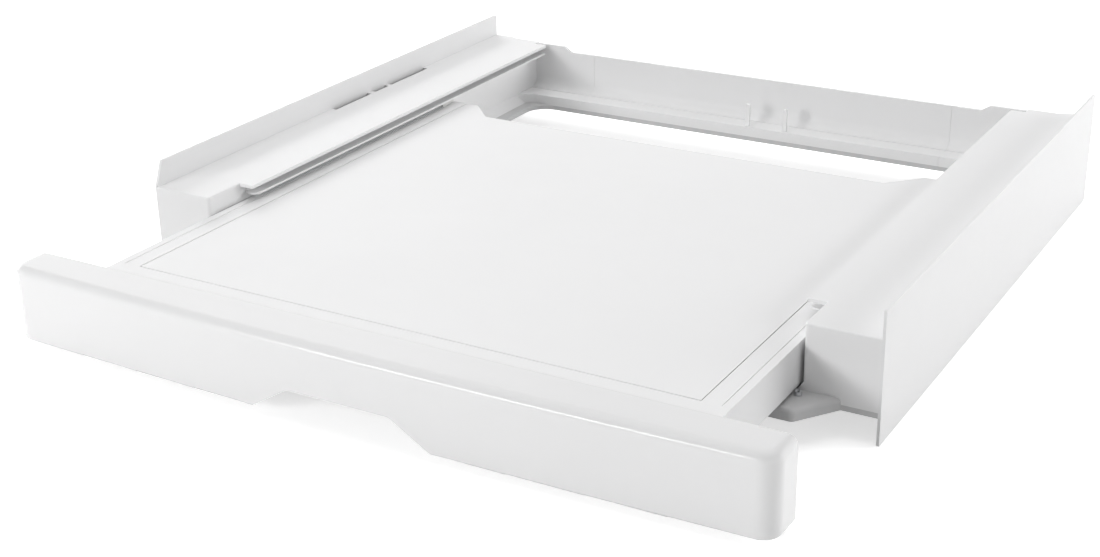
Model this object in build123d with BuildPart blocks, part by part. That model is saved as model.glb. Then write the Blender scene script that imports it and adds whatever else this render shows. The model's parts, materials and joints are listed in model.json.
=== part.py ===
from build123d import *
import math
import os

# Washer and dryer stacking kit with a pull-out shelf, in millimetres.
# X runs across the kit, +Y runs to its back and +Z up. The origin is the middle of the
# footprint with the shelf pulled out as it is displayed, at the lower edges of the side panels.

# Overall sizes
overall_width = 600.0
rail_length = 505.0
panel_height = 96.0
panel_thickness = 2.0
washer_lip = 20.0
dryer_lip = 20.0
panel_corner_radius = 1.5
left_lip_lean = 8.0

# Base frame
base_thickness = 4.0
track_width = 11.0
window_front_depth = 62.0
window_corner_radius = 20.0
front_bar_setback = 4.0
tab_length = 30.0
tab_inner_reach = 28.0
tab_outer_reach = 6.0
tab_root_reach = 27.0
tab_corner_radius = 5.0
tab_rise = 4.4
tab_rim_radius = 3.0
bar_rib_height = 5.0
bar_rib_thickness = 3.0
bar_cross_ribs = 5

# Rail housings
moulding_wall = 2.5
housing_width = 52.0
foot_width = 6.0
foot_height = 9.0
deck_overhang = 13.0
overhang_front = 37.0
overhang_rear_gap = 13.0
housing_rib_thickness = 2.0
front_rib_depths = (60.0, 180.0)
last_rib_margin = 85.0
boss_radius = 5.0
boss_height = 26.0
boss_inset = 30.0
strap_slot_width = 5.0
strap_slot_spans = ((227.0, 280.0), (287.0, 308.0), (312.5, 371.0))
deck_step_depth = 4.0
deck_step_inset = 18.0
deck_step_run = 8.0
housing_edge_radius = 3.0
deck_edge_radius = 1.2

# Retainer strips under the deck's inner edge
strip_thickness = 1.5
strip_setback = 7.0
strip_top_reach = 10.0
strip_drop = 5.2
strip_nose_depth = 3.0

# Rear wall
rear_wall_thickness = 3.0
rear_wall_gap = 7.0
rear_wall_drop = 5.0
rear_ledge_height = 9.0
rear_ledge_length = 29.0
rear_ledge_thickness = 3.0
wall_cove_radius = 9.0
foot_groove_width = 1.4
foot_groove_depth = 0.8
corner_seam_inset = 66.0
seam_gap = 0.2
raised_end_inset = 32.0
raised_end_slope = 8.0
ledge_corner_radius = 18.0
prong_xs = (-4.0, 33.0)
prong_width = 3.6
prong_thickness = 2.4
prong_height = 21.0
prong_stub_radius = 1.0

# Shelf
shelf_pulled_out = 118.0
shelf_length = 424.0
shelf_tail_length = 26.0
shelf_top_drop = 14.0
shelf_side_gap = 2.5
shelf_rail_height = 31.0
shelf_sheet = 3.0
tail_chamfer_start = 56.5
tail_chamfer_end = 31.5
border_width = 20.0
groove_gap = 0.8
border_groove_inset = 6.0
border_groove_width = 0.8
border_groove_depth = 0.7
ledge_width = 11.0
rail_flange_width = 17.5
rail_flange_thickness = 2.5
flange_rear_margin = 2.0
front_bar_depth = 14.0
front_bar_wall = 2.5
tongue_length = 20.0
tongue_thickness = 3.0
tongue_height = 12.0
shelf_rib_depth = 9.0
shelf_rib_thickness = 2.0
shelf_ribs_across = 6
shelf_ribs_along = 7
shelf_rib_margin = 16.0
rib_side_gap = 1.0
panel_screw_rows = 4
rear_bar_gap = 8.0
rear_bar_width = 14.0

# Fascia, which sits a little to the left of the shelf's middle
fascia_centre_x = -8.0
fascia_end_depth = 31.0
fascia_bow = 6.0
fascia_bottom_z = 6.0
fascia_top_rise = 0.8
fascia_wall = 2.5
fascia_end_radius = 13.0
fascia_top_radius = 4.0
fascia_bottom_radius = 2.0
notch_centre_x = -13.0
notch_top_half_width = 41.0
notch_slope_run = 32.0
notch_height = 19.5
notch_blend_radius = 9.0
cut_margin = 1.0
fascia_boss_radius = 5.0
fascia_boss_xs = (-190.0, -80.0, 80.0, 190.0)
fascia_rib_xs = (-140.0, 140.0)

# Rollers, pins and fasteners
running_gap = 0.3
pin_clearance = 0.05
roller_width = 8.0
front_roller_radius = 5.3
front_roller_depth = 8.0
front_axle_radius = 1.5
front_ear_thickness = 1.6
front_ear_gap = 0.2
front_ear_half_length = 4.5
front_ear_height = 4.4
rear_roller_radius = 12.0
rear_axle_radius = 2.5
rear_axle_head_radius = 4.5
rear_axle_head_thickness = 1.2
axle_head_sides = 6
roller_side_gap = 0.6
roller_end_gap = 1.0
roller_edge_chamfer = 0.6
roller_tail_margin = 2.0
glide_length = 18.0
glide_width = 5.0
full_travel = 300.0
stop_length = 11.0
stop_height = 5.6
stop_chamfer = 3.0
guide_pin_radius = 2.4
guide_pin_height = 8.2
guide_pin_gap = 0.8
guide_pin_depth = -8.0
screw_sides = 8
screw_radius = 2.0
screw_head_radius = 3.8
screw_head_height = 2.2
small_screw_radius = 1.3
small_head_radius = 2.6
small_head_height = 1.4
screw_skin = 0.8
lug_width = 18.0
lug_length = 30.0
front_lug_depths = (110.0, 240.0)
last_lug_margin = 120.0
lug_screw_reach = 5.0
pad_width = 18.0
pad_length = 26.0
pad_thickness = 2.0
pad_inset = 32.0
pad_margins = (30.0, 150.0)

# Levels and places worked out from the sizes above
fascia_depth = fascia_end_depth + fascia_bow
panel_front_y = (shelf_pulled_out + fascia_depth - rail_length) / 2
panel_outer_x = overall_width / 2
panel_inner_x = panel_outer_x - panel_thickness
housing_inner_x = panel_inner_x - housing_width
boss_x = panel_inner_x - boss_inset
deck_step_x = panel_inner_x - deck_step_inset
pad_x = panel_inner_x - pad_inset
base_z = washer_lip
floor_z = base_z + base_thickness
deck_z = panel_height - dryer_lip
deck_under_z = deck_z - moulding_wall
foot_inner_x = housing_inner_x - foot_width
foot_top_z = floor_z + foot_height
window_half_width = foot_inner_x - track_width
tab_inner_x = housing_inner_x - tab_inner_reach
tab_outer_x = housing_inner_x + tab_outer_reach
tab_root_x = housing_inner_x + tab_root_reach
deck_edge_x = housing_inner_x - deck_overhang
overhang_rear = rail_length - overhang_rear_gap
strip_front = overhang_front + strip_setback
slot_bridge_depth = (strap_slot_spans[0][1] + strap_slot_spans[1][0]) / 2
housing_rib_depths = (*front_rib_depths, slot_bridge_depth, rail_length - last_rib_margin)
lug_depths = (*front_lug_depths, rail_length - last_lug_margin)
pad_depths = (*pad_margins, *[rail_length - margin for margin in pad_margins])
corner_seam_x = housing_inner_x - corner_seam_inset
raised_end_x = housing_inner_x - raised_end_inset
shelf_top_z = deck_z - shelf_top_drop
shelf_under_z = shelf_top_z - shelf_sheet
shelf_outer_x = housing_inner_x - shelf_side_gap
shelf_bottom_z = shelf_top_z - shelf_rail_height
shelf_rear_depth = shelf_length - shelf_pulled_out
shelf_tail_depth = shelf_rear_depth + shelf_tail_length
tail_chamfer_inner_x = shelf_outer_x - tail_chamfer_start
tail_chamfer_outer_x = shelf_outer_x - tail_chamfer_end
border_inner_x = shelf_outer_x - border_width
web_inner_x = shelf_outer_x - shelf_sheet
strip_under_z = deck_under_z - strip_drop - strip_thickness
bar_back_depth = -shelf_pulled_out + front_bar_depth
ledge_z = floor_z + rear_ledge_height
wall_rear_depth = rail_length - rear_wall_gap
wall_front_depth = wall_rear_depth - rear_wall_thickness
window_rear_depth = wall_front_depth - rear_ledge_length
wall_top_z = deck_z - rear_wall_drop
rear_roller_z = floor_z + running_gap + rear_roller_radius
rear_roller_depth = shelf_tail_depth - rear_roller_radius - roller_tail_margin
flange_rear_depth = rear_roller_depth - rear_roller_radius - flange_rear_margin
rear_bar_front = rear_roller_depth - rear_roller_radius - rear_bar_gap - rear_bar_width
travel_out = full_travel - shelf_pulled_out
fascia_half_width = panel_outer_x
roller_outer_x = foot_inner_x - front_ear_gap - front_ear_thickness - roller_side_gap
front_roller_z = shelf_bottom_z - running_gap - front_roller_radius


def at(depth):
    """Y of a place that lies this far behind the front edge of the side panels."""
    return panel_front_y + depth


def cross_plane(depth):
    """Plane across the kit: its own x is X and its own y is Z."""
    return Plane(origin=(0, at(depth), 0), x_dir=(1, 0, 0), z_dir=(0, -1, 0))


def side_plane(x):
    """Plane along the kit: its own x is Y and its own y is Z."""
    return Plane(origin=(x, 0, 0), x_dir=(0, 1, 0), z_dir=(1, 0, 0))


def block(x_span, depth_span, z_span, mode=Mode.ADD):
    """Box between two X values, two depths and two heights."""
    centre = (
        sum(x_span) / 2,
        at(sum(depth_span) / 2),
        sum(z_span) / 2,
    )
    size = (
        x_span[1] - x_span[0],
        depth_span[1] - depth_span[0],
        z_span[1] - z_span[0],
    )
    with Locations(centre):
        Box(*size, mode=mode)


def upright(x, depth, z_span, radius, mode=Mode.ADD):
    """Vertical round post or hole."""
    with Locations((x, at(depth), sum(z_span) / 2)):
        Cylinder(radius, z_span[1] - z_span[0], mode=mode)


def crossways(x_span, depth, z, radius, mode=Mode.ADD):
    """Round pin or hole whose axis runs along X."""
    with Locations(Location((sum(x_span) / 2, at(depth), z), (0, 90, 0))):
        Cylinder(radius, x_span[1] - x_span[0], mode=mode)


def lengthways(x, depth_span, z, radius, mode=Mode.ADD):
    """Round pin or hole whose axis runs along Y."""
    with Locations(Location((x, at(sum(depth_span) / 2), z), (90, 0, 0))):
        Cylinder(radius, depth_span[1] - depth_span[0], mode=mode)


def small_prisms(plane, spots, radius, length, mode=Mode.ADD, sides=screw_sides, taper=0):
    """Shanks, heads or holes of small fasteners, drawn with few sides, standing on a plane."""
    with BuildSketch(plane) as outlines:
        with Locations(*spots):
            RegularPolygon(radius, sides)
    extrude(outlines.sketch, amount=length, taper=taper, mode=mode)


def save(shape, name):
    """Label one finished piece and write it out."""
    shape.label = name
    export_step(shape, f"parts/{name}.step")


def save_pair(shape, name):
    """Write the right-hand piece and its mirror image for the left-hand side."""
    left = mirror(shape, about=Plane.YZ)
    save(shape, f"{name}_right")
    save(left, f"{name}_left")


def both_sides(x):
    """The same distance from the middle, on either side."""
    return (-x, x)


os.makedirs("parts", exist_ok=True)



def countersunk_shanks(places, length, widen=0, mode=Mode.ADD):
    """Countersunk screws, or the holes for them, that rise from the base plate's underside."""
    spots = [(x, at(depth)) for x, depth in places]
    underside = Plane.XY.offset(base_z)
    head_height = screw_head_radius - screw_radius
    small_prisms(underside, spots, screw_radius + widen, length, mode)
    small_prisms(underside, spots, screw_head_radius + widen, head_height, mode, taper=45)


# Where the screws stand, as X and depth
housing_screw_places = [
    (x, depth) for x in both_sides(boss_x) for depth in housing_rib_depths
]
lug_x = panel_inner_x - lug_width / 2
lug_screw_places = [(x, depth) for x in both_sides(lug_x) for depth in lug_depths]
rear_screw_depth = (window_rear_depth + wall_front_depth) / 2
corner_screw_x = (corner_seam_x + foot_inner_x) / 2
rear_screw_xs = (-corner_screw_x, -corner_seam_x / 2, corner_seam_x / 2, corner_screw_x)
rear_screw_places = [(x, rear_screw_depth) for x in rear_screw_xs]
guide_pin_x = shelf_outer_x + guide_pin_gap + guide_pin_radius

# Base frame: flat plate with one large window, and a tab under each side of the shelf
with BuildPart() as base_frame:
    with BuildSketch(Plane.XY.offset(base_z)) as plate_outline:
        with BuildLine():
            for side in (-1, 1):
                Polyline(
                    (0, at(front_bar_setback)),
                    (side * tab_inner_x, at(front_bar_setback)),
                    (side * tab_inner_x, at(-tab_length)),
                    (side * tab_outer_x, at(-tab_length)),
                    (side * tab_root_x, at(0)),
                    (side * panel_inner_x, at(0)),
                    (side * panel_inner_x, at(rail_length)),
                    (0, at(rail_length)),
                )
        make_face()
        tab_corners = plate_outline.vertices().group_by(Axis.Y)[0]
        fillet(tab_corners, radius=tab_corner_radius)
        window_length = window_rear_depth - window_front_depth
        with Locations((0, at(window_front_depth + window_length / 2))):
            RectangleRounded(
                2 * window_half_width,
                window_length,
                window_corner_radius,
                mode=Mode.SUBTRACT,
            )
    extrude(amount=base_thickness)
    # the tabs are thicker than the plate and have a rounded rim
    with BuildSketch(Plane.XY.offset(floor_z)) as tab_outlines:
        for side in (-1, 1):
            with BuildLine():
                Polyline(
                    (side * tab_inner_x, at(0)),
                    (side * tab_inner_x, at(-tab_length)),
                    (side * tab_outer_x, at(-tab_length)),
                    (side * tab_root_x, at(0)),
                    (side * tab_inner_x, at(0)),
                )
            make_face()
        tab_corners = tab_outlines.vertices().group_by(Axis.Y)[0]
        fillet(tab_corners, radius=tab_corner_radius)
    extrude(amount=tab_rise)
    top_edges = base_frame.edges().group_by(Axis.Z)[-1]
    rim_edges = top_edges.filter_by(lambda edge: edge.center().Y < at(-1))
    fillet(rim_edges, radius=tab_rim_radius)
    # stiffening ribs along the front bar, low enough to pass under the shelf
    rib_half_length = tab_inner_x - bar_rib_thickness
    rib_top_z = floor_z + bar_rib_height
    bar_front_rib = front_bar_setback + bar_rib_thickness
    bar_rear_rib = window_front_depth - 2 * bar_rib_thickness
    for depth in (bar_front_rib, bar_rear_rib):
        rib_span = (depth, depth + bar_rib_thickness)
        block((-rib_half_length, rib_half_length), rib_span, (floor_z, rib_top_z))
    rib_pitch = 2 * rib_half_length / bar_cross_ribs
    for index in range(bar_cross_ribs):
        rib_x = (index - (bar_cross_ribs - 1) / 2) * rib_pitch
        rib_sides = (rib_x - bar_rib_thickness / 2, rib_x + bar_rib_thickness / 2)
        block(rib_sides, (bar_front_rib, bar_rear_rib), (floor_z, rib_top_z))
    for side in (-1, 1):
        roller_middle = side * (roller_outer_x - roller_width / 2)
        slot_reach = roller_width / 2 + roller_side_gap
        ear_reach = slot_reach + front_ear_thickness
        ear_span = (
            front_roller_depth - front_ear_half_length,
            front_roller_depth + front_ear_half_length,
        )
        block(
            (roller_middle - ear_reach, roller_middle + ear_reach),
            ear_span,
            (floor_z, floor_z + front_ear_height),
        )
        slot_half_length = front_roller_radius + roller_end_gap
        block(
            (roller_middle - slot_reach, roller_middle + slot_reach),
            (front_roller_depth - slot_half_length, front_roller_depth + slot_half_length),
            (base_z, floor_z + front_ear_height),
            mode=Mode.SUBTRACT,
        )
        crossways(
            (roller_middle - ear_reach, roller_middle + ear_reach),
            front_roller_depth,
            front_roller_z,
            front_axle_radius + pin_clearance,
            mode=Mode.SUBTRACT,
        )
        upright(
            side * guide_pin_x,
            guide_pin_depth,
            (base_z, floor_z + tab_rise),
            guide_pin_radius + pin_clearance,
            mode=Mode.SUBTRACT,
        )
    # countersunk holes for every screw that comes up from below
    base_screw_places = housing_screw_places + lug_screw_places + rear_screw_places
    countersunk_shanks(base_screw_places, base_thickness, pin_clearance, Mode.SUBTRACT)
save(base_frame.part, "base_frame")

# Rail housing, right-hand side: deck, inner wall, front and rear walls, ribs and bosses
housing_outline = [
    (foot_inner_x, floor_z),
    (housing_inner_x, foot_top_z),
    (housing_inner_x, deck_z),
    (panel_inner_x, deck_z),
    (panel_inner_x, floor_z),
]
hollow_outline = [
    (foot_inner_x + moulding_wall, floor_z),
    (housing_inner_x + moulding_wall, foot_top_z),
    (housing_inner_x + moulding_wall, deck_under_z),
    (panel_inner_x, deck_under_z),
    (panel_inner_x, floor_z),
]
with BuildPart() as rail_housing:
    with BuildSketch(cross_plane(0)):
        Polygon(*housing_outline, align=None)
    extrude(amount=-rail_length)
    front_corner = rail_housing.edges().filter_by(Axis.Z).group_by(Axis.Y)[0].sort_by(Axis.X)[0]
    fillet(front_corner, radius=housing_edge_radius)
    with BuildSketch(cross_plane(moulding_wall)):
        Polygon(*hollow_outline, align=None)
    extrude(amount=-(rail_length - 2 * moulding_wall), mode=Mode.SUBTRACT)
    block((deck_edge_x, housing_inner_x), (overhang_front, overhang_rear), (deck_under_z, deck_z))
    for depth in housing_rib_depths:
        with BuildSketch(cross_plane(depth - housing_rib_thickness / 2)):
            Polygon(*hollow_outline, align=None)
        extrude(amount=-housing_rib_thickness)
        upright(boss_x, depth, (floor_z, floor_z + boss_height), boss_radius)
    boss_spots = [(boss_x, at(depth)) for depth in housing_rib_depths]
    pilot_length = boss_height - moulding_wall
    boss_foot = Plane.XY.offset(floor_z)
    small_prisms(boss_foot, boss_spots, screw_radius, pilot_length, Mode.SUBTRACT)
    for slot_span in strap_slot_spans:
        block(
            (panel_inner_x - strap_slot_width, panel_inner_x),
            slot_span,
            (deck_under_z, deck_z),
            mode=Mode.SUBTRACT,
        )
    # the rear edge of the deck steps forward beside the panel
    with BuildSketch(Plane.XY.offset(deck_under_z)):
        with BuildLine():
            Polyline(
                (housing_inner_x, at(rail_length)),
                (housing_inner_x, at(rail_length - deck_step_depth)),
                (deck_step_x - deck_step_run, at(rail_length - deck_step_depth)),
                (deck_step_x, at(rail_length)),
                close=True,
            )
        make_face()
    extrude(amount=moulding_wall, mode=Mode.SUBTRACT)
    deck_front_edges = (
        rail_housing.edges()
        .filter_by(Axis.X)
        .filter_by_position(Axis.Z, deck_z - 0.01, deck_z + 0.01)
        .group_by(Axis.Y)[0]
    )
    fillet(deck_front_edges, radius=deck_edge_radius)
save_pair(rail_housing.part, "rail_housing")

# Side panels: thin sheet with folded lugs that are screwed to the base plate
for side, name in ((-1, "left"), (1, "right")):
    lean = left_lip_lean if side < 0 else 0
    with BuildPart() as side_panel:
        with BuildSketch(side_plane(side * panel_outer_x)) as panel_outline:
            with BuildLine():
                Polyline(
                    (at(0), 0),
                    (at(rail_length), 0),
                    (at(rail_length), panel_height),
                    (at(lean), panel_height),
                    (at(0), deck_z),
                    close=True,
                )
            make_face()
            fillet(panel_outline.vertices(), radius=panel_corner_radius)
        extrude(amount=-side * panel_thickness)
        for depth in lug_depths:
            lug_edges = sorted((side * (panel_inner_x - lug_width), side * panel_inner_x))
            block(
                lug_edges,
                (depth - lug_length / 2, depth + lug_length / 2),
                (floor_z, floor_z + panel_thickness),
            )
        lug_spots = [(side * lug_x, at(depth)) for depth in lug_depths]
        lug_hole_radius = screw_radius + pin_clearance
        lug_foot = Plane.XY.offset(floor_z)
        small_prisms(lug_foot, lug_spots, lug_hole_radius, panel_thickness, Mode.SUBTRACT)
    save(side_panel.part, f"side_panel_{name}")

# Retainer strip, right-hand side: channel under the deck edge that keeps the shelf down
with BuildPart() as retainer_strip:
    strip_length = overhang_rear - strip_thickness - strip_front
    with BuildSketch(cross_plane(strip_front)):
        with BuildLine():
            Polyline(
                (housing_inner_x, deck_under_z),
                (housing_inner_x - strip_top_reach, deck_under_z),
                (housing_inner_x - strip_top_reach, deck_under_z - strip_thickness),
                (housing_inner_x - strip_thickness, deck_under_z - strip_thickness),
                (housing_inner_x - strip_thickness, deck_under_z - strip_drop),
                (deck_edge_x, deck_under_z - strip_drop),
                (deck_edge_x, strip_under_z),
                (housing_inner_x, strip_under_z),
                close=True,
            )
        make_face()
    extrude(amount=-strip_length)
    # rounded lead-in at the front of the lower flange
    with BuildSketch(Plane.XY.offset(strip_under_z)):
        with BuildLine():
            nose_y = at(strip_front)
            ThreePointArc(
                (deck_edge_x, nose_y),
                ((deck_edge_x + housing_inner_x) / 2, nose_y - strip_nose_depth),
                (housing_inner_x, nose_y),
            )
            Line((housing_inner_x, nose_y), (deck_edge_x, nose_y))
        make_face()
    extrude(amount=strip_thickness)
save_pair(retainer_strip.part, "retainer_strip")


def rear_section(x, top_z):
    """Section of the rear wall, ledge and lip in Y and Z, with a cove and a foot groove."""
    lip_front = at(window_rear_depth)
    lip_back = lip_front + rear_ledge_thickness
    wall_front = at(wall_front_depth)
    wall_back = at(wall_rear_depth)
    cove_front = wall_front - wall_cove_radius
    groove_front = cove_front - foot_groove_width
    with BuildSketch(side_plane(x)) as section:
        with BuildLine():
            Polyline(
                (lip_front, floor_z),
                (lip_front, ledge_z),
                (groove_front, ledge_z),
                (groove_front, ledge_z - foot_groove_depth),
                (cove_front, ledge_z - foot_groove_depth),
                (cove_front, ledge_z),
            )
            cove_middle = wall_cove_radius * (1 - math.sqrt(0.5))
            ThreePointArc(
                (cove_front, ledge_z),
                (wall_front - cove_middle, ledge_z + cove_middle),
                (wall_front, ledge_z + wall_cove_radius),
            )
            Polyline(
                (wall_front, ledge_z + wall_cove_radius),
                (wall_front, top_z),
                (wall_back, top_z),
                (wall_back, floor_z),
                (wall_front, floor_z),
                (wall_front, ledge_z - rear_ledge_thickness),
                (lip_back, ledge_z - rear_ledge_thickness),
                (lip_back, floor_z),
                (lip_front, floor_z),
            )
        make_face()
    return section.sketch


# Rear cross member: wall, cove, ledge and front lip in one moulding
with BuildPart() as rear_cross_member:
    seam_x = corner_seam_x - seam_gap / 2
    extrude(rear_section(-seam_x, wall_top_z), amount=2 * seam_x)
    for x in rear_screw_xs[1:3]:
        upright(x, rear_screw_depth, (floor_z, ledge_z - rear_ledge_thickness), boss_radius)
    pilot_foot = Plane.XY.offset(floor_z)
    pilot_length = rear_ledge_height - screw_skin
    pilot_spots = [(x, at(rear_screw_depth)) for x in rear_screw_xs]
    small_prisms(pilot_foot, pilot_spots[1:3], screw_radius, pilot_length, Mode.SUBTRACT)
    prong_depth = window_rear_depth + rear_ledge_thickness + prong_thickness / 2
    prong_spots = [(x, at(prong_depth)) for x in prong_xs]
    stub_foot = Plane.XY.offset(ledge_z - rear_ledge_thickness)
    stub_hole_radius = prong_stub_radius + pin_clearance
    small_prisms(stub_foot, prong_spots, stub_hole_radius, rear_ledge_thickness, Mode.SUBTRACT)
save(rear_cross_member.part, "rear_cross_member")

# Rear corner, right-hand side: same section, a raised end and a lip that curves to the track
with BuildPart() as rear_corner:
    inner_x = corner_seam_x + seam_gap / 2
    extrude(rear_section(inner_x, deck_z), amount=housing_inner_x - inner_x)
    with BuildSketch(cross_plane(wall_front_depth)):
        with BuildLine():
            Polyline(
                (inner_x, deck_z),
                (inner_x, wall_top_z),
                (raised_end_x - raised_end_slope, wall_top_z),
                (raised_end_x, deck_z),
                close=True,
            )
        make_face()
    extrude(amount=-rear_wall_thickness, mode=Mode.SUBTRACT)
    with BuildSketch(Plane.XY.offset(floor_z)):
        with BuildLine():
            arc_x = housing_inner_x - ledge_corner_radius
            arc_depth = window_rear_depth - ledge_corner_radius
            arc_middle = ledge_corner_radius * math.sqrt(0.5)
            ThreePointArc(
                (arc_x, at(window_rear_depth)),
                (arc_x + arc_middle, at(arc_depth) + arc_middle),
                (housing_inner_x, at(arc_depth)),
            )
            Polyline(
                (housing_inner_x, at(arc_depth)),
                (housing_inner_x, at(window_rear_depth)),
                (arc_x, at(window_rear_depth)),
            )
        make_face()
    extrude(amount=rear_ledge_height)
    upright(
        corner_screw_x, rear_screw_depth, (floor_z, ledge_z - rear_ledge_thickness), boss_radius
    )
    small_prisms(pilot_foot, pilot_spots[3:], screw_radius, pilot_length, Mode.SUBTRACT)
    # the outer side follows the sloping foot of the housing
    with BuildSketch(cross_plane(arc_depth)):
        Polygon(
            (foot_inner_x, floor_z),
            (housing_inner_x, foot_top_z),
            (housing_inner_x, floor_z),
            align=None,
        )
    extrude(amount=-(wall_rear_depth - arc_depth), mode=Mode.SUBTRACT)
save_pair(rear_corner.part, "rear_corner")

# Two upright prongs on the rear ledge
with BuildPart() as rear_prongs:
    for x in prong_xs:
        block(
            (x - prong_width / 2, x + prong_width / 2),
            (prong_depth - prong_thickness / 2, prong_depth + prong_thickness / 2),
            (ledge_z, ledge_z + prong_height),
        )
    tips = rear_prongs.edges().filter_by(Axis.Y).group_by(Axis.Z)[-1]
    fillet(tips, radius=prong_width / 4)
    small_prisms(stub_foot, prong_spots, prong_stub_radius, rear_ledge_thickness)
save(rear_prongs.part, "rear_prongs")

# Front rollers and their axles, in slots of the base plate
roller_span = (roller_outer_x - roller_width, roller_outer_x)
with BuildPart() as front_roller:
    crossways(roller_span, front_roller_depth, front_roller_z, front_roller_radius)
    crossways(
        roller_span,
        front_roller_depth,
        front_roller_z,
        front_axle_radius + pin_clearance,
        mode=Mode.SUBTRACT,
    )
save_pair(front_roller.part, "front_roller")

with BuildPart() as front_roller_axle:
    axle_reach = roller_side_gap + front_ear_thickness
    crossways(
        (roller_span[0] - axle_reach, roller_span[1] + axle_reach),
        front_roller_depth,
        front_roller_z,
        front_axle_radius,
    )
save_pair(front_roller_axle.part, "front_roller_axle")

# Guide pins that keep the shelf centred between the tabs
with BuildPart() as guide_pins:
    for x in both_sides(guide_pin_x):
        upright(x, guide_pin_depth, (base_z, floor_z + guide_pin_height), guide_pin_radius)
    pin_tips = guide_pins.edges().filter_by(GeomType.CIRCLE).group_by(Axis.Z)[-1]
    chamfer(pin_tips, length=guide_pin_radius / 3)
save(guide_pins.part, "guide_pins")

# Travel stops on the track floor, met by the rear rollers when the shelf is fully out
with BuildPart() as travel_stop:
    stop_rear = rear_roller_depth - rear_roller_radius - travel_out - running_gap
    block(
        (window_half_width, foot_inner_x),
        (stop_rear - stop_length, stop_rear),
        (floor_z, floor_z + stop_height),
    )
    front_top_edge = travel_stop.edges().filter_by(Axis.X).group_by(Axis.Z)[-1].sort_by(Axis.Y)[0]
    chamfer(front_top_edge, length=stop_chamfer)
save_pair(travel_stop.part, "travel_stop")

# Shelf panel: smooth top sheet with a notched rear edge and a grid of ribs below
panel_half_width = border_inner_x - groove_gap
panel_front_depth = bar_back_depth + groove_gap
rib_limit_x = border_inner_x - ledge_width - rib_side_gap
with BuildPart() as shelf_panel:
    with BuildSketch(Plane.XY.offset(shelf_under_z)):
        with BuildLine():
            for side in (-1, 1):
                Polyline(
                    (0, at(panel_front_depth)),
                    (side * panel_half_width, at(panel_front_depth)),
                    (side * panel_half_width, at(shelf_tail_depth)),
                    (side * tail_chamfer_outer_x, at(shelf_tail_depth)),
                    (side * tail_chamfer_inner_x, at(shelf_rear_depth)),
                    (0, at(shelf_rear_depth)),
                )
        make_face()
    extrude(amount=shelf_sheet)
    rib_z_span = (shelf_under_z - shelf_rib_depth, shelf_under_z)
    rib_front = panel_front_depth + shelf_rib_margin
    rib_rear = shelf_rear_depth - shelf_rib_thickness
    rib_field_x = min(rib_limit_x, tail_chamfer_inner_x)
    for index in range(shelf_ribs_along + 1):
        x = -rib_field_x + 2 * rib_field_x * index / shelf_ribs_along
        half = shelf_rib_thickness / 2
        block((x - half, x + half), (rib_front, rib_rear), rib_z_span)
    for index in range(shelf_ribs_across + 1):
        start = rib_front + (rib_rear - rib_front - shelf_rib_thickness) * index / shelf_ribs_across
        block((-rib_field_x, rib_field_x), (start, start + shelf_rib_thickness), rib_z_span)
    ledge_x = border_inner_x - ledge_width / 2
    screw_pitch = (rear_bar_front - rib_front) / (panel_screw_rows - 1)
    panel_screw_depths = [rib_front + screw_pitch * index for index in range(panel_screw_rows)]
    panel_screw_spots = [
        (x, at(depth)) for x in both_sides(ledge_x) for depth in panel_screw_depths
    ]
    panel_under = Plane.XY.offset(shelf_under_z)
    blind_length = shelf_sheet - screw_skin
    small_prisms(panel_under, panel_screw_spots, small_screw_radius, blind_length, Mode.SUBTRACT)
save(shelf_panel.part, "shelf_panel")

# Shelf side rail, right-hand side: grooved border, side web, support ledge and roller flange
with BuildPart() as shelf_side_rail:
    with BuildSketch(cross_plane(bar_back_depth)):
        groove_outer_x = shelf_outer_x - border_groove_inset
        groove_inner_x = groove_outer_x - border_groove_width
        ledge_low_z = shelf_under_z - shelf_sheet
        with BuildLine():
            Polyline(
                (border_inner_x, shelf_top_z),
                (groove_inner_x, shelf_top_z),
                (groove_inner_x, shelf_top_z - border_groove_depth),
                (groove_outer_x, shelf_top_z - border_groove_depth),
                (groove_outer_x, shelf_top_z),
                (shelf_outer_x, shelf_top_z),
                (shelf_outer_x, shelf_bottom_z),
                (shelf_outer_x - rail_flange_width, shelf_bottom_z),
                (shelf_outer_x - rail_flange_width, shelf_bottom_z + rail_flange_thickness),
                (web_inner_x, shelf_bottom_z + rail_flange_thickness),
                (web_inner_x, shelf_under_z),
                (border_inner_x + shelf_sheet, shelf_under_z),
                (border_inner_x + shelf_sheet, ledge_low_z),
                (border_inner_x - ledge_width, ledge_low_z),
                (border_inner_x - ledge_width, shelf_under_z),
                (border_inner_x, shelf_under_z),
                close=True,
            )
        make_face()
    extrude(amount=-(shelf_tail_depth - bar_back_depth))
    # the roller flange stops short of the rear roller
    block(
        (shelf_outer_x - rail_flange_width, web_inner_x),
        (flange_rear_depth, shelf_tail_depth),
        (shelf_bottom_z, shelf_bottom_z + rail_flange_thickness),
        mode=Mode.SUBTRACT,
    )
    crossways(
        (web_inner_x, shelf_outer_x),
        rear_roller_depth,
        rear_roller_z,
        rear_axle_radius + pin_clearance,
        mode=Mode.SUBTRACT,
    )
    small_hole_radius = small_screw_radius + pin_clearance
    ledge_spots = [(x, y) for x, y in panel_screw_spots if x > 0]
    ledge_under = Plane.XY.offset(ledge_low_z)
    small_prisms(ledge_under, ledge_spots, small_hole_radius, shelf_sheet, Mode.SUBTRACT)
    # blind holes in the web for the screws of the front tongue and the rear bar
    tongue_screw_depth = bar_back_depth + tongue_length / 2
    rail_screw_z = (shelf_bottom_z + rail_flange_thickness + ledge_low_z) / 2
    rear_bar_screw_depth = rear_bar_front + rear_bar_width / 2
    web_spots = [(at(tongue_screw_depth), rail_screw_z), (at(rear_bar_screw_depth), rail_screw_z)]
    web_side = side_plane(web_inner_x)
    small_prisms(web_side, web_spots, small_screw_radius, blind_length, Mode.SUBTRACT)
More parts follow.
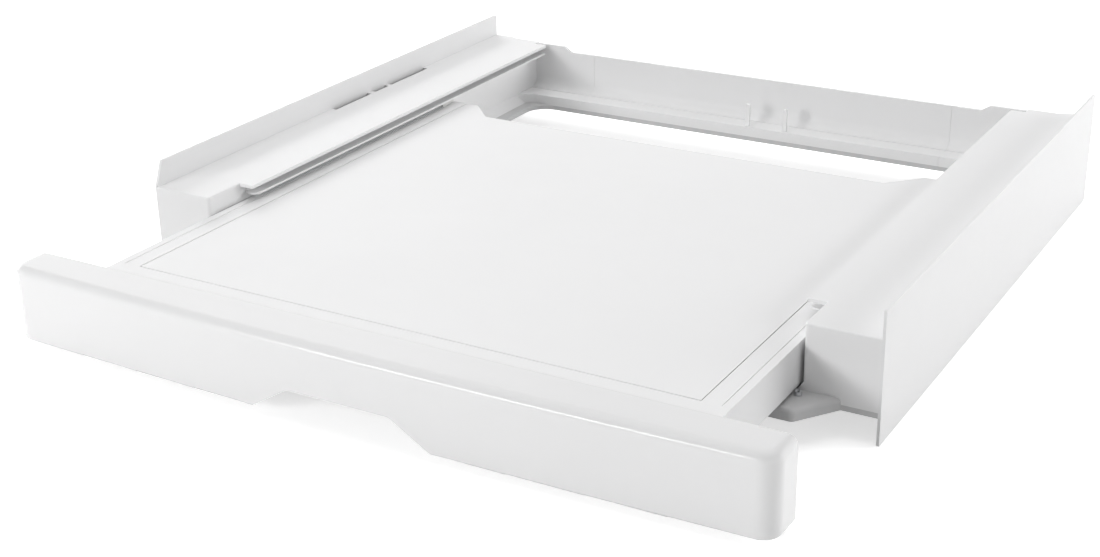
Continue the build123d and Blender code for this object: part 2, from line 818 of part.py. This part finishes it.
save_pair(shelf_side_rail.part, "shelf_side_rail")

# Shelf front bar: channel behind the fascia, with a tongue inside each side rail
bar_span = (-shelf_pulled_out, bar_back_depth)
with BuildPart() as shelf_front_bar:
    full_width = (-shelf_outer_x, shelf_outer_x)
    block(full_width, (bar_span[0], bar_span[0] + front_bar_wall), (shelf_bottom_z, shelf_top_z))
    block(full_width, bar_span, (shelf_under_z, shelf_top_z))
    block(full_width, bar_span, (shelf_bottom_z, shelf_bottom_z + rail_flange_thickness))
    tongue_z = (rail_screw_z - tongue_height / 2, rail_screw_z + tongue_height / 2)
    for side in (-1, 1):
        tongue_x = sorted((side * (web_inner_x - tongue_thickness), side * web_inner_x))
        block(tongue_x, (bar_span[0], bar_back_depth + tongue_length), tongue_z)
        end_x = sorted((side * web_inner_x, side * shelf_outer_x))
        block(end_x, bar_span, (shelf_bottom_z, shelf_top_z))
        tongue_side = side_plane(tongue_x[0])
        small_prisms(
            tongue_side, web_spots[:1], small_hole_radius, tongue_thickness, Mode.SUBTRACT
        )
    fascia_screw_z = shelf_bottom_z + shelf_rail_height / 2
    fascia_screw_spots = [(x, fascia_screw_z) for x in fascia_boss_xs]
    bar_inside = bar_span[0] + front_bar_wall
    bar_hole_radius = screw_radius + pin_clearance
    small_prisms(
        cross_plane(bar_inside), fascia_screw_spots, bar_hole_radius, front_bar_wall, Mode.SUBTRACT
    )
save(shelf_front_bar.part, "shelf_front_bar")

# Shelf rear bar: channel that ties the side rails together under the panel
with BuildPart() as shelf_rear_bar:
    rear_bar_low = shelf_bottom_z + rail_flange_thickness
    rear_bar_top = shelf_under_z - shelf_rib_depth
    rear_bar_span = (rear_bar_front, rear_bar_front + rear_bar_width)
    block((-web_inner_x, web_inner_x), rear_bar_span, (rear_bar_low, rear_bar_top))
    block(
        (-web_inner_x + tongue_thickness, web_inner_x - tongue_thickness),
        (rear_bar_span[0] + front_bar_wall, rear_bar_span[1] - front_bar_wall),
        (rear_bar_low + front_bar_wall, rear_bar_top),
        mode=Mode.SUBTRACT,
    )
    for x in (-web_inner_x, web_inner_x - tongue_thickness):
        small_prisms(
            side_plane(x), web_spots[1:], small_hole_radius, tongue_thickness, Mode.SUBTRACT
        )
save(shelf_rear_bar.part, "shelf_rear_bar")


def fascia_plan(inset, z):
    """Plan of the fascia: straight back, bowed front and rounded ends, moved in by a wall."""
    left = fascia_centre_x - fascia_half_width + inset
    right = fascia_centre_x + fascia_half_width - inset
    back = at(-shelf_pulled_out)
    end = back - fascia_end_depth + inset
    middle = back - fascia_depth + inset
    with BuildSketch(Plane.XY.offset(z)) as plan:
        with BuildLine():
            Polyline((left, end), (left, back), (right, back), (right, end))
            ThreePointArc((right, end), (fascia_centre_x, middle), (left, end))
        make_face()
        front_corners = plan.vertices().sort_by(Axis.Y)[:2]
        fillet(front_corners, radius=fascia_end_radius - inset)
    return plan.sketch


def skin_depth(x):
    """Depth of the fascia's bowed front face at this X."""
    bow_radius = (fascia_half_width**2 + fascia_bow**2) / (2 * fascia_bow)
    sagitta = bow_radius - math.sqrt(bow_radius**2 - (x - fascia_centre_x) ** 2)
    return -shelf_pulled_out - fascia_depth + sagitta


def notch_section(widen):
    """Finger notch at the lower edge of the fascia, as a trapezium open to below."""
    top = notch_top_half_width + widen / 2
    foot = notch_top_half_width + notch_slope_run + widen
    with BuildSketch(cross_plane(-shelf_pulled_out)) as notch:
        with BuildLine():
            Polyline(
                (notch_centre_x - foot, fascia_bottom_z - cut_margin),
                (notch_centre_x - foot, fascia_bottom_z),
                (notch_centre_x - top, fascia_bottom_z + notch_height + widen),
                (notch_centre_x + top, fascia_bottom_z + notch_height + widen),
                (notch_centre_x + foot, fascia_bottom_z),
                (notch_centre_x + foot, fascia_bottom_z - cut_margin),
                close=True,
            )
        make_face()
        roof_corners = notch.vertices().group_by(Axis.Y)[-1]
        fillet(roof_corners, radius=notch_blend_radius)
    return notch.sketch


# Fascia: hollow moulding, open at the back, with a finger notch, ribs and screw bosses
fascia_top_z = shelf_top_z + fascia_top_rise
fascia_height = fascia_top_z - fascia_bottom_z
notch_cut_depth = fascia_depth + cut_margin
cavity_height = fascia_height - 2 * fascia_wall
with BuildPart() as fascia_cavity:
    extrude(fascia_plan(fascia_wall, fascia_bottom_z + fascia_wall), amount=cavity_height)
    extrude(notch_section(fascia_wall), amount=notch_cut_depth, mode=Mode.SUBTRACT)
with BuildPart() as front_fascia:
    extrude(fascia_plan(0, fascia_bottom_z), amount=fascia_height)
    lower_corners = front_fascia.edges().group_by(Axis.Z)[0].sort_by(Axis.Y)[:-1]
    upper_edges = front_fascia.edges().group_by(Axis.Z)[-1].sort_by(Axis.Y)[:-1]
    fillet(upper_edges, radius=fascia_top_radius)
    fillet(lower_corners, radius=fascia_bottom_radius)
    extrude(notch_section(0), amount=notch_cut_depth, mode=Mode.SUBTRACT)
    add(fascia_cavity.part, mode=Mode.SUBTRACT)
    for x in fascia_boss_xs:
        boss_span = (skin_depth(x) + fascia_wall, -shelf_pulled_out)
        lengthways(x, boss_span, fascia_screw_z, fascia_boss_radius)
        bore_length = boss_span[1] - boss_span[0] - fascia_wall
        bore_spots = [(x, fascia_screw_z)]
        fascia_back = cross_plane(-shelf_pulled_out)
        small_prisms(fascia_back, bore_spots, screw_radius, bore_length, Mode.SUBTRACT)
    for x in fascia_rib_xs:
        block(
            (x - fascia_wall / 2, x + fascia_wall / 2),
            (skin_depth(x) + fascia_wall / 2, -shelf_pulled_out),
            (fascia_bottom_z + fascia_wall / 2, fascia_top_z - fascia_wall / 2),
        )
save(front_fascia.part, "front_fascia")

# Rear rollers on the shelf's tails, with a flanged axle riveted through each side rail
with BuildPart() as rear_roller:
    crossways(roller_span, rear_roller_depth, rear_roller_z, rear_roller_radius)
    crossways(
        roller_span,
        rear_roller_depth,
        rear_roller_z,
        rear_axle_radius + pin_clearance,
        mode=Mode.SUBTRACT,
    )
    treads = rear_roller.edges().filter_by(GeomType.CIRCLE).sort_by(SortBy.RADIUS)[-2:]
    chamfer(treads, length=roller_edge_chamfer)
save_pair(rear_roller.part, "rear_roller")

with BuildPart() as rear_roller_axle:
    head_x = roller_span[0] - running_gap
    shoulder_x = roller_span[1] + running_gap
    crossways((head_x, shelf_outer_x), rear_roller_depth, rear_roller_z, rear_axle_radius)
    # a head at the inner end, and a shoulder that keeps the roller clear of the side rail
    for start_x, thickness in (
        (head_x - rear_axle_head_thickness, rear_axle_head_thickness),
        (shoulder_x, web_inner_x - shoulder_x),
    ):
        axle_spots = [(at(rear_roller_depth), rear_roller_z)]
        start_plane = side_plane(start_x)
        small_prisms(
            start_plane, axle_spots, rear_axle_head_radius, thickness, sides=axle_head_sides
        )
save_pair(rear_roller_axle.part, "rear_roller_axle")

# Tail glides on the shelf's borders, under the retainer strips
with BuildPart() as tail_glide:
    glide_outer_x = shelf_outer_x - running_gap
    block(
        (glide_outer_x - glide_width, glide_outer_x),
        (shelf_tail_depth - glide_length, shelf_tail_depth),
        (shelf_top_z, strip_under_z - running_gap),
    )
    glide_ends = tail_glide.edges().filter_by(Axis.X).group_by(Axis.Z)[-1]
    chamfer(glide_ends, length=glide_width / 5)
save_pair(tail_glide.part, "tail_glide")

# Screws that come up through the base plate into the housings, lugs and rear wall
with BuildPart() as housing_screws:
    housing_screw_length = base_thickness + boss_height - 2 * moulding_wall
    countersunk_shanks(housing_screw_places, housing_screw_length)
save(housing_screws.part, "housing_screws")

with BuildPart() as lug_screws:
    countersunk_shanks(lug_screw_places, base_thickness + panel_thickness + lug_screw_reach)
save(lug_screws.part, "lug_screws")

with BuildPart() as rear_screws:
    rear_screw_reach = rear_ledge_height - rear_ledge_thickness
    countersunk_shanks(rear_screw_places, base_thickness + rear_screw_reach)
save(rear_screws.part, "rear_screws")

# Screws that hold the fascia to the front bar, the panel to its ledges and the bars to the rails
with BuildPart() as fascia_screws:
    head_plane = cross_plane(bar_inside + screw_head_height)
    small_prisms(head_plane, fascia_screw_spots, screw_head_radius, screw_head_height)
    for x in fascia_boss_xs:
        shank_length = bar_inside - skin_depth(x) - 3 * fascia_wall
        shank_spots = [(x, fascia_screw_z)]
        small_prisms(cross_plane(bar_inside), shank_spots, screw_radius, shank_length)
save(fascia_screws.part, "fascia_screws")

with BuildPart() as panel_screws:
    shank_length = shelf_sheet + blind_length
    small_prisms(ledge_under, panel_screw_spots, small_screw_radius, shank_length)
    small_prisms(ledge_under, panel_screw_spots, small_head_radius, -small_head_height)
save(panel_screws.part, "panel_screws")

with BuildPart() as rail_screws:
    head_plane_x = web_inner_x - tongue_thickness - small_head_height
    shank_length = small_head_height + tongue_thickness + blind_length
    for side in (-1, 1):
        head_plane = side_plane(side * head_plane_x)
        small_prisms(head_plane, web_spots, small_screw_radius, side * shank_length)
        small_prisms(head_plane, web_spots, small_head_radius, side * small_head_height)
save(rail_screws.part, "rail_screws")

# Rubber pads between the base plate and the washer's top
with BuildPart() as base_pads:
    for x in both_sides(pad_x):
        for depth in pad_depths:
            block(
                (x - pad_width / 2, x + pad_width / 2),
                (depth - pad_length / 2, depth + pad_length / 2),
                (base_z - pad_thickness, base_z),
            )
    chamfer(base_pads.edges().group_by(Axis.Z)[0], length=pad_thickness / 4)
save(base_pads.part, "base_pads")
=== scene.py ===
"""Washer and dryer stacking kit with its shelf pulled out: finishes, lights, floor and camera."""
import json
import math

import bpy
from mathutils import Matrix, Vector


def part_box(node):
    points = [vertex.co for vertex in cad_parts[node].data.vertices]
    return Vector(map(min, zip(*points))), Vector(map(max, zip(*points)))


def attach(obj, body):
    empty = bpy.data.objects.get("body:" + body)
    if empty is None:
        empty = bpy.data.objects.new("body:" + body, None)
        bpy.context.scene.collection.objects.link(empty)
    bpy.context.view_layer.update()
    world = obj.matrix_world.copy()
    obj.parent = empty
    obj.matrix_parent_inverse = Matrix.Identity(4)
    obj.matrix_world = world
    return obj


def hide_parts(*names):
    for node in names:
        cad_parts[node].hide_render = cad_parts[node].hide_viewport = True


MM = 0.001

# Camera, matched to the photograph, which is 1100 by 557 pixels; angles in degrees
PHOTO_WIDTH = 1100
SENSOR_WIDTH = 36.0
FOCAL_PIXELS = 1735.44
CAMERA_PLACE = (0.61896, -1.12079, 0.54001)
CAMERA_YAW = -30.6676
CAMERA_PITCH = 23.1753
CAMERA_ROLL = -1.1574
CAMERA_CLIP_START = 0.05

# Lights: name, place, aim, width and height in metres, power in watts, mirrored by gloss or not
LIGHTS = (
    ("overhead", (-0.1, 0.2, 2.2), (0.0, 0.0, 0.0), 2.4, 2.4, 29.0, False),
    ("front_left", (-0.95, -2.2, 0.77), (0.0, -0.2, 0.05), 1.0, 0.5, 19.5, False),
    ("front_strip", (-1.25, -2.9, 1.0), (0.0, -0.2, 0.05), 1.5, 0.3, 12.0, True),
    ("right", (2.4, -0.5, 0.8), (0.2, -0.1, 0.03), 1.0, 0.8, 4.0, False),
    ("rear_right", (2.3, 1.3, 0.8), (0.2, 0.0, 0.05), 1.4, 1.0, 30.0, False),
    ("rear_left", (-2.0, 1.6, 1.3), (0.0, 0.0, 0.05), 1.4, 1.0, 34.0, False),
)

# Surroundings: their light on the object, and where a reflection of them fades to the ceiling
WHITE = (1.0, 1.0, 1.0, 1.0)
WORLD_STRENGTH = 0.17
CEILING_FADE = (0.3, 0.55)
CEILING_TONE = 0.0
FLOOR_SIZE = 12.0
FLOOR_COLOUR = (0.8, 0.8, 0.8, 1.0)
FLOOR_LIFT = 0.62

# Noise values between which a finish drifts from its first value to its second
VALUE_BAND = (0.3, 0.7)
TONE_BAND = (0.35, 0.65)

# Moulded plastics: two tones, roughness from and to, grain height, grains to the metre,
# clear coat and strength of the mirror image
PLASTICS = {
    "white_satin": (
        ((0.855, 0.855, 0.858), (0.865, 0.865, 0.868)),
        (0.4, 0.5), 0.02 * MM, 2200.0, 0.0, 0.36,
    ),
    "white_gloss": (
        ((0.865, 0.865, 0.868), (0.875, 0.875, 0.878)),
        (0.16, 0.22), 0.004 * MM, 900.0, 0.45, 0.55,
    ),
    # base_plastic: light grey plastic, toned down further as painted shade, which darkens the tab
    # that lies in shade under the shelf's side
    "base_plastic": (
        ((0.6, 0.6, 0.603), (0.62, 0.62, 0.623)),
        (0.28, 0.36), 0.02 * MM, 2200.0, 0.0, 0.36,
    ),
    "nylon": (
        ((0.76, 0.76, 0.735), (0.8, 0.8, 0.775)),
        (0.35, 0.45), 0.01 * MM, 1400.0, 0.0, 0.36,
    ),
}
PLASTIC_INDEX = 1.49
COAT_ROUGHNESS = 0.06
PLASTIC_DRIFT_SCALE = 9.0
PLASTIC_SHEEN_SCALE = 60.0

# Other finishes: two tones, roughness from and to, height of their relief, and the number of
# cells to the metre of the tone, the sheen and the relief
POWDER_TONES = ((0.845, 0.845, 0.848), (0.855, 0.855, 0.858))
POWDER_ROUGH = (0.36, 0.44)
POWDER_PEEL = 0.03 * MM
POWDER_SCALES = (7.0, 90.0, 420.0)
ZINC_TONES = ((0.58, 0.59, 0.61), (0.68, 0.69, 0.71))
ZINC_ROUGH = (0.26, 0.4)
ZINC_MARKS = 0.01 * MM
ZINC_SCALES = (800.0, 1500.0, 3000.0)
ZINC_STRETCH = (1.0, 1.0, 6.0)
RUBBER_TONES = ((0.035, 0.035, 0.037), (0.05, 0.05, 0.052))
RUBBER_ROUGH = (0.7, 0.85)
RUBBER_PITS = 0.05 * MM
RUBBER_SCALES = (300.0, 500.0, 2500.0)

# Fascia: its bow and rounded ends as in the CAD, and the radius of its upper edge there and here
FASCIA_BOW = 6.0 * MM
FASCIA_CORNER = 13.0 * MM
FASCIA_CAD_ROUNDING = 4.0 * MM
FASCIA_ROUNDING = 7.0 * MM
FASCIA_TOLERANCE = 0.1 * MM
RISE_TOLERANCE = 0.001


def add_object(name, data):
    """New object in the scene for this mesh, lamp or camera."""
    obj = bpy.data.objects.new(name, data)
    bpy.context.scene.collection.objects.link(obj)
    return obj


def blank_material(name):
    """New material with only an output in its node tree, and the input of its surface."""
    material = bpy.data.materials.new(name)
    material.use_nodes = True
    tree = material.node_tree
    tree.nodes.clear()
    output = tree.nodes.new("ShaderNodeOutputMaterial")
    return material, tree, output.inputs["Surface"]


def surface_material(name):
    """New material with its Principled shader joined to the output."""
    material, tree, surface = blank_material(name)
    shader = tree.nodes.new("ShaderNodeBsdfPrincipled")
    tree.links.new(shader.outputs["BSDF"], surface)
    return material, tree, shader


def noise(tree, scale, detail=3.0, stretch=(1.0, 1.0, 1.0)):
    """Noise in object space, scale in cells to the metre, stretched along the axes."""
    coordinates = tree.nodes.new("ShaderNodeTexCoord")
    mapping = tree.nodes.new("ShaderNodeMapping")
    mapping.inputs["Scale"].default_value = stretch
    texture = tree.nodes.new("ShaderNodeTexNoise")
    texture.inputs["Scale"].default_value = scale
    texture.inputs["Detail"].default_value = detail
    tree.links.new(coordinates.outputs["Object"], mapping.inputs["Vector"])
    tree.links.new(mapping.outputs["Vector"], texture.inputs["Vector"])
    return texture.outputs["Fac"]


def ranged(tree, source, low, high, band=(0.0, 1.0)):
    """Value that goes from low to high while the source crosses the band.

    Low and high are numbers, or outputs of other nodes.
    """
    node = tree.nodes.new("ShaderNodeMapRange")
    node.inputs["From Min"].default_value = band[0]
    node.inputs["From Max"].default_value = band[1]
    tree.links.new(source, node.inputs["Value"])
    for name, value in (("To Min", low), ("To Max", high)):
        if isinstance(value, bpy.types.NodeSocket):
            tree.links.new(value, node.inputs[name])
        else:
            node.inputs[name].default_value = value
    return node.outputs["Result"]


def either(tree, first, second):
    """One where the first or the second value is one."""
    node = tree.nodes.new("ShaderNodeMath")
    node.operation = "MAXIMUM"
    tree.links.new(first, node.inputs[0])
    tree.links.new(second, node.inputs[1])
    return node.outputs["Value"]


def set_tone(tree, shader, source, tones):
    """Base colour that drifts between two close tones."""
    ramp = tree.nodes.new("ShaderNodeValToRGB")
    for element, position, tone in zip(ramp.color_ramp.elements, TONE_BAND, tones):
        element.position = position
        element.color = (*tone, 1.0)
    tree.links.new(source, ramp.inputs["Fac"])
    tree.links.new(ramp.outputs["Color"], shader.inputs["Base Color"])


def set_sheen(tree, shader, source, rough):
    """Roughness that varies between two values."""
    sheen = ranged(tree, source, *rough, band=VALUE_BAND)
    tree.links.new(sheen, shader.inputs["Roughness"])


def set_relief(tree, shader, source, height):
    """Surface relief of this height in metres."""
    relief = tree.nodes.new("ShaderNodeBump")
    relief.inputs["Distance"].default_value = height
    tree.links.new(source, relief.inputs["Height"])
    tree.links.new(relief.outputs["Normal"], shader.inputs["Normal"])


def moulded_plastic(name):
    """Moulded plastic: faint colour drift, uneven sheen and a fine grain."""
    tones, rough, grain_height, grain_scale, coat, mirror = PLASTICS[name]
    material, tree, shader = surface_material(name)
    set_tone(tree, shader, noise(tree, PLASTIC_DRIFT_SCALE), tones)
    set_sheen(tree, shader, noise(tree, PLASTIC_SHEEN_SCALE, detail=4.0), rough)
    set_relief(tree, shader, noise(tree, grain_scale, detail=2.0), grain_height)
    shader.inputs["IOR"].default_value = PLASTIC_INDEX
    shader.inputs["Specular IOR Level"].default_value = mirror
    shader.inputs["Coat Weight"].default_value = coat
    shader.inputs["Coat Roughness"].default_value = COAT_ROUGHNESS
    return material


def powder_coat(name):
    """White powder-coated sheet steel with its faint orange peel."""
    drift_scale, sheen_scale, peel_scale = POWDER_SCALES
    material, tree, shader = surface_material(name)
    set_tone(tree, shader, noise(tree, drift_scale), POWDER_TONES)
    set_sheen(tree, shader, noise(tree, sheen_scale), POWDER_ROUGH)
    set_relief(tree, shader, noise(tree, peel_scale, detail=1.0), POWDER_PEEL)
    return material


def zinc_steel(name):
    """Zinc-plated steel with fine turning marks."""
    drift_scale, sheen_scale, mark_scale = ZINC_SCALES
    material, tree, shader = surface_material(name)
    shader.inputs["Metallic"].default_value = 1.0
    set_tone(tree, shader, noise(tree, drift_scale), ZINC_TONES)
    set_sheen(tree, shader, noise(tree, sheen_scale), ZINC_ROUGH)
    marks = noise(tree, mark_scale, detail=2.0, stretch=ZINC_STRETCH)
    set_relief(tree, shader, marks, ZINC_MARKS)
    return material


def matt_rubber(name):
    """Dark grey rubber, dull and slightly pitted."""
    drift_scale, sheen_scale, pit_scale = RUBBER_SCALES
    material, tree, shader = surface_material(name)
    set_tone(tree, shader, noise(tree, drift_scale), RUBBER_TONES)
    set_sheen(tree, shader, noise(tree, sheen_scale), RUBBER_ROUGH)
    set_relief(tree, shader, noise(tree, pit_scale), RUBBER_PITS)
    return material


def finishes():
    """One material for each of the record's slots."""
    materials = {name: moulded_plastic(name) for name in PLASTICS}
    for name in ("white_sheet", "strip"):
        materials[name] = powder_coat(name)
    materials["rubber"] = matt_rubber("rubber")
    materials["steel"] = zinc_steel("steel")
    return materials


def dress_nodes(frame):
    """Give every CAD node the finish that the record names for it."""
    materials = finishes()
    slots = {part["node"]: part["material_slot"] for part in frame["record"]["subparts"]}
    for name, obj in frame["nodes"].items():
        obj.data.materials.clear()
        obj.data.materials.append(materials[slots[name]])


def fascia_plan(low, high):
    """Function that measures a point against the outer plan of the fascia's box."""
    middle_x = (low[0] + high[0]) / 2
    half_width = (high[0] - low[0]) / 2
    bow_radius = (half_width**2 + FASCIA_BOW**2) / (2 * FASCIA_BOW)
    bow_centre = Vector((middle_x, low[1] + bow_radius))
    corner_x = half_width - FASCIA_CORNER
    corner_y = bow_centre.y - math.sqrt((bow_radius - FASCIA_CORNER) ** 2 - corner_x**2)
    tangent_turn = math.atan2(corner_x, bow_centre.y - corner_y)

    def measure(x, y):
        """Depth inside the outer plan and the outward direction there."""
        side = 1.0 if x > middle_x else -1.0
        if y > corner_y:
            return half_width - abs(x - middle_x), Vector((side, 0.0))
        from_corner = Vector((x - middle_x - side * corner_x, y - corner_y))
        turn = math.atan2(side * from_corner.x, -from_corner.y)
        if from_corner.length > 0 and turn > tangent_turn:
            return FASCIA_CORNER - from_corner.length, from_corner.normalized()
        from_bow = Vector((x, y)) - bow_centre
        return bow_radius - from_bow.length, from_bow.normalized()

    return measure


def soften_fascia(frame):
    """Fascia with the fuller rounding that the photograph shows along its upper edge.

    A copy of the CAD node's mesh, in which the rounding's own points move to the larger
    arc. Its first and last points slide down the upright faces and in over the flat top,
    and nothing else moves. Behind the edge the wall thins to about 0.6 mm, out of sight.
    """
    low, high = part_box("front_fascia")
    measure = fascia_plan(low, high)
    mesh = frame["nodes"]["front_fascia"].data.copy()
    grow = FASCIA_ROUNDING - FASCIA_CAD_ROUNDING
    for vertex in mesh.vertices:
        x, y, z = vertex.co
        rise = (z - (high[2] - FASCIA_CAD_ROUNDING)) / FASCIA_CAD_ROUNDING
        if rise < -RISE_TOLERANCE:
            continue
        sine = min(1.0, max(0.0, rise))
        cosine = math.sqrt(1.0 - sine * sine)
        depth, outward = measure(x, y)
        if abs(depth - FASCIA_CAD_ROUNDING * (1.0 - cosine)) > FASCIA_TOLERANCE:
            continue
        inward = -grow * (1.0 - cosine) * outward
        vertex.co = (x + inward.x, y + inward.y, z - grow * (1.0 - sine))
    piece = add_object("fascia_shell", mesh)
    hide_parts("front_fascia")
    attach(piece, "shelf")


def pale_floor():
    """White floor that still takes the object's shadow."""
    half = FLOOR_SIZE / 2
    mesh = bpy.data.meshes.new("floor")
    corners = [(-half, -half, 0.0), (half, -half, 0.0), (half, half, 0.0), (-half, half, 0.0)]
    mesh.from_pydata(corners, [], [(0, 1, 2, 3)])
    floor = add_object("floor", mesh)
    material, tree, surface = blank_material("floor")
    diffuse = tree.nodes.new("ShaderNodeBsdfDiffuse")
    diffuse.inputs["Color"].default_value = FLOOR_COLOUR
    path = tree.nodes.new("ShaderNodeLightPath")
    seen = either(tree, path.outputs["Is Camera Ray"], path.outputs["Is Glossy Ray"])
    looked_at = either(tree, seen, path.outputs["Is Transmission Ray"])
    glow = tree.nodes.new("ShaderNodeEmission")
    tree.links.new(ranged(tree, looked_at, 0.0, FLOOR_LIFT), glow.inputs["Strength"])
    both = tree.nodes.new("ShaderNodeAddShader")
    tree.links.new(diffuse.outputs["BSDF"], both.inputs[0])
    tree.links.new(glow.outputs["Emission"], both.inputs[1])
    tree.links.new(both.outputs["Shader"], surface)
    floor.data.materials.append(material)


def soft_world():
    """White surroundings to look at, with a dark ceiling in reflections and a weaker even light."""
    world = bpy.data.worlds.new("studio")
    bpy.context.scene.world = world
    world.use_nodes = True
    tree = world.node_tree
    background = tree.nodes["Background"]
    background.inputs["Color"].default_value = WHITE
    coordinates = tree.nodes.new("ShaderNodeTexCoord")
    axes = tree.nodes.new("ShaderNodeSeparateXYZ")
    tree.links.new(coordinates.outputs["Generated"], axes.inputs["Vector"])
    path = tree.nodes.new("ShaderNodeLightPath")
    mirrored = ranged(tree, axes.outputs["Z"], 1.0, CEILING_TONE, band=CEILING_FADE)
    lit = ranged(tree, path.outputs["Is Glossy Ray"], WORLD_STRENGTH, mirrored)
    looked_at = either(tree, path.outputs["Is Camera Ray"], path.outputs["Is Transmission Ray"])
    tree.links.new(ranged(tree, looked_at, lit, 1.0), background.inputs["Strength"])


def area_lights():
    """Soft rectangular lamps around the object."""
    for name, place, aim, width, height, power, mirrored in LIGHTS:
        lamp = bpy.data.lights.new(name, "AREA")
        lamp.shape = "RECTANGLE"
        lamp.size = width
        lamp.size_y = height
        lamp.energy = power
        obj = add_object(name, lamp)
        obj.location = place
        obj.visible_glossy = mirrored
        direction = Vector(aim) - Vector(place)
        obj.rotation_euler = direction.to_track_quat("-Z", "Y").to_euler()


def photo_camera():
    """Camera at the photograph's viewpoint."""
    yaw, pitch, roll = (math.radians(a) for a in (CAMERA_YAW, CAMERA_PITCH, CAMERA_ROLL))
    forward = Vector(
        (math.sin(yaw) * math.cos(pitch), math.cos(yaw) * math.cos(pitch), -math.sin(pitch))
    )
    right = forward.cross(Vector((0.0, 0.0, 1.0))).normalized()
    up = right.cross(forward)
    rolled_right = right * math.cos(roll) + up * math.sin(roll)
    rolled_up = up * math.cos(roll) - right * math.sin(roll)
    data = bpy.data.cameras.new("camera")
    data.sensor_width = SENSOR_WIDTH
    data.lens = FOCAL_PIXELS / PHOTO_WIDTH * SENSOR_WIDTH
    data.clip_start = CAMERA_CLIP_START
    camera = add_object("camera", data)
    turn = Matrix((rolled_right, rolled_up, -forward)).transposed()
    camera.matrix_world = Matrix.Translation(CAMERA_PLACE) @ turn.to_4x4()
    bpy.context.scene.camera = camera


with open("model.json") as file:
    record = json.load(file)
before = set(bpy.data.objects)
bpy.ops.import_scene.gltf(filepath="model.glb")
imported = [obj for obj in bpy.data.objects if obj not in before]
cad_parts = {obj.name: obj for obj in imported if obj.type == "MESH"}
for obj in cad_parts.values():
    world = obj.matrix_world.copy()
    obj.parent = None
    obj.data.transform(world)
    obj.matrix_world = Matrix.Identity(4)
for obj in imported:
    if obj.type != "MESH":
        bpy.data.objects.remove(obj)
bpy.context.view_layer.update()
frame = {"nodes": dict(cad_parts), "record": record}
bpy.context.scene.view_settings.view_transform = "Standard"
dress_nodes(frame)
soften_fascia(frame)
pale_floor()
soft_world()
area_lights()
photo_camera()
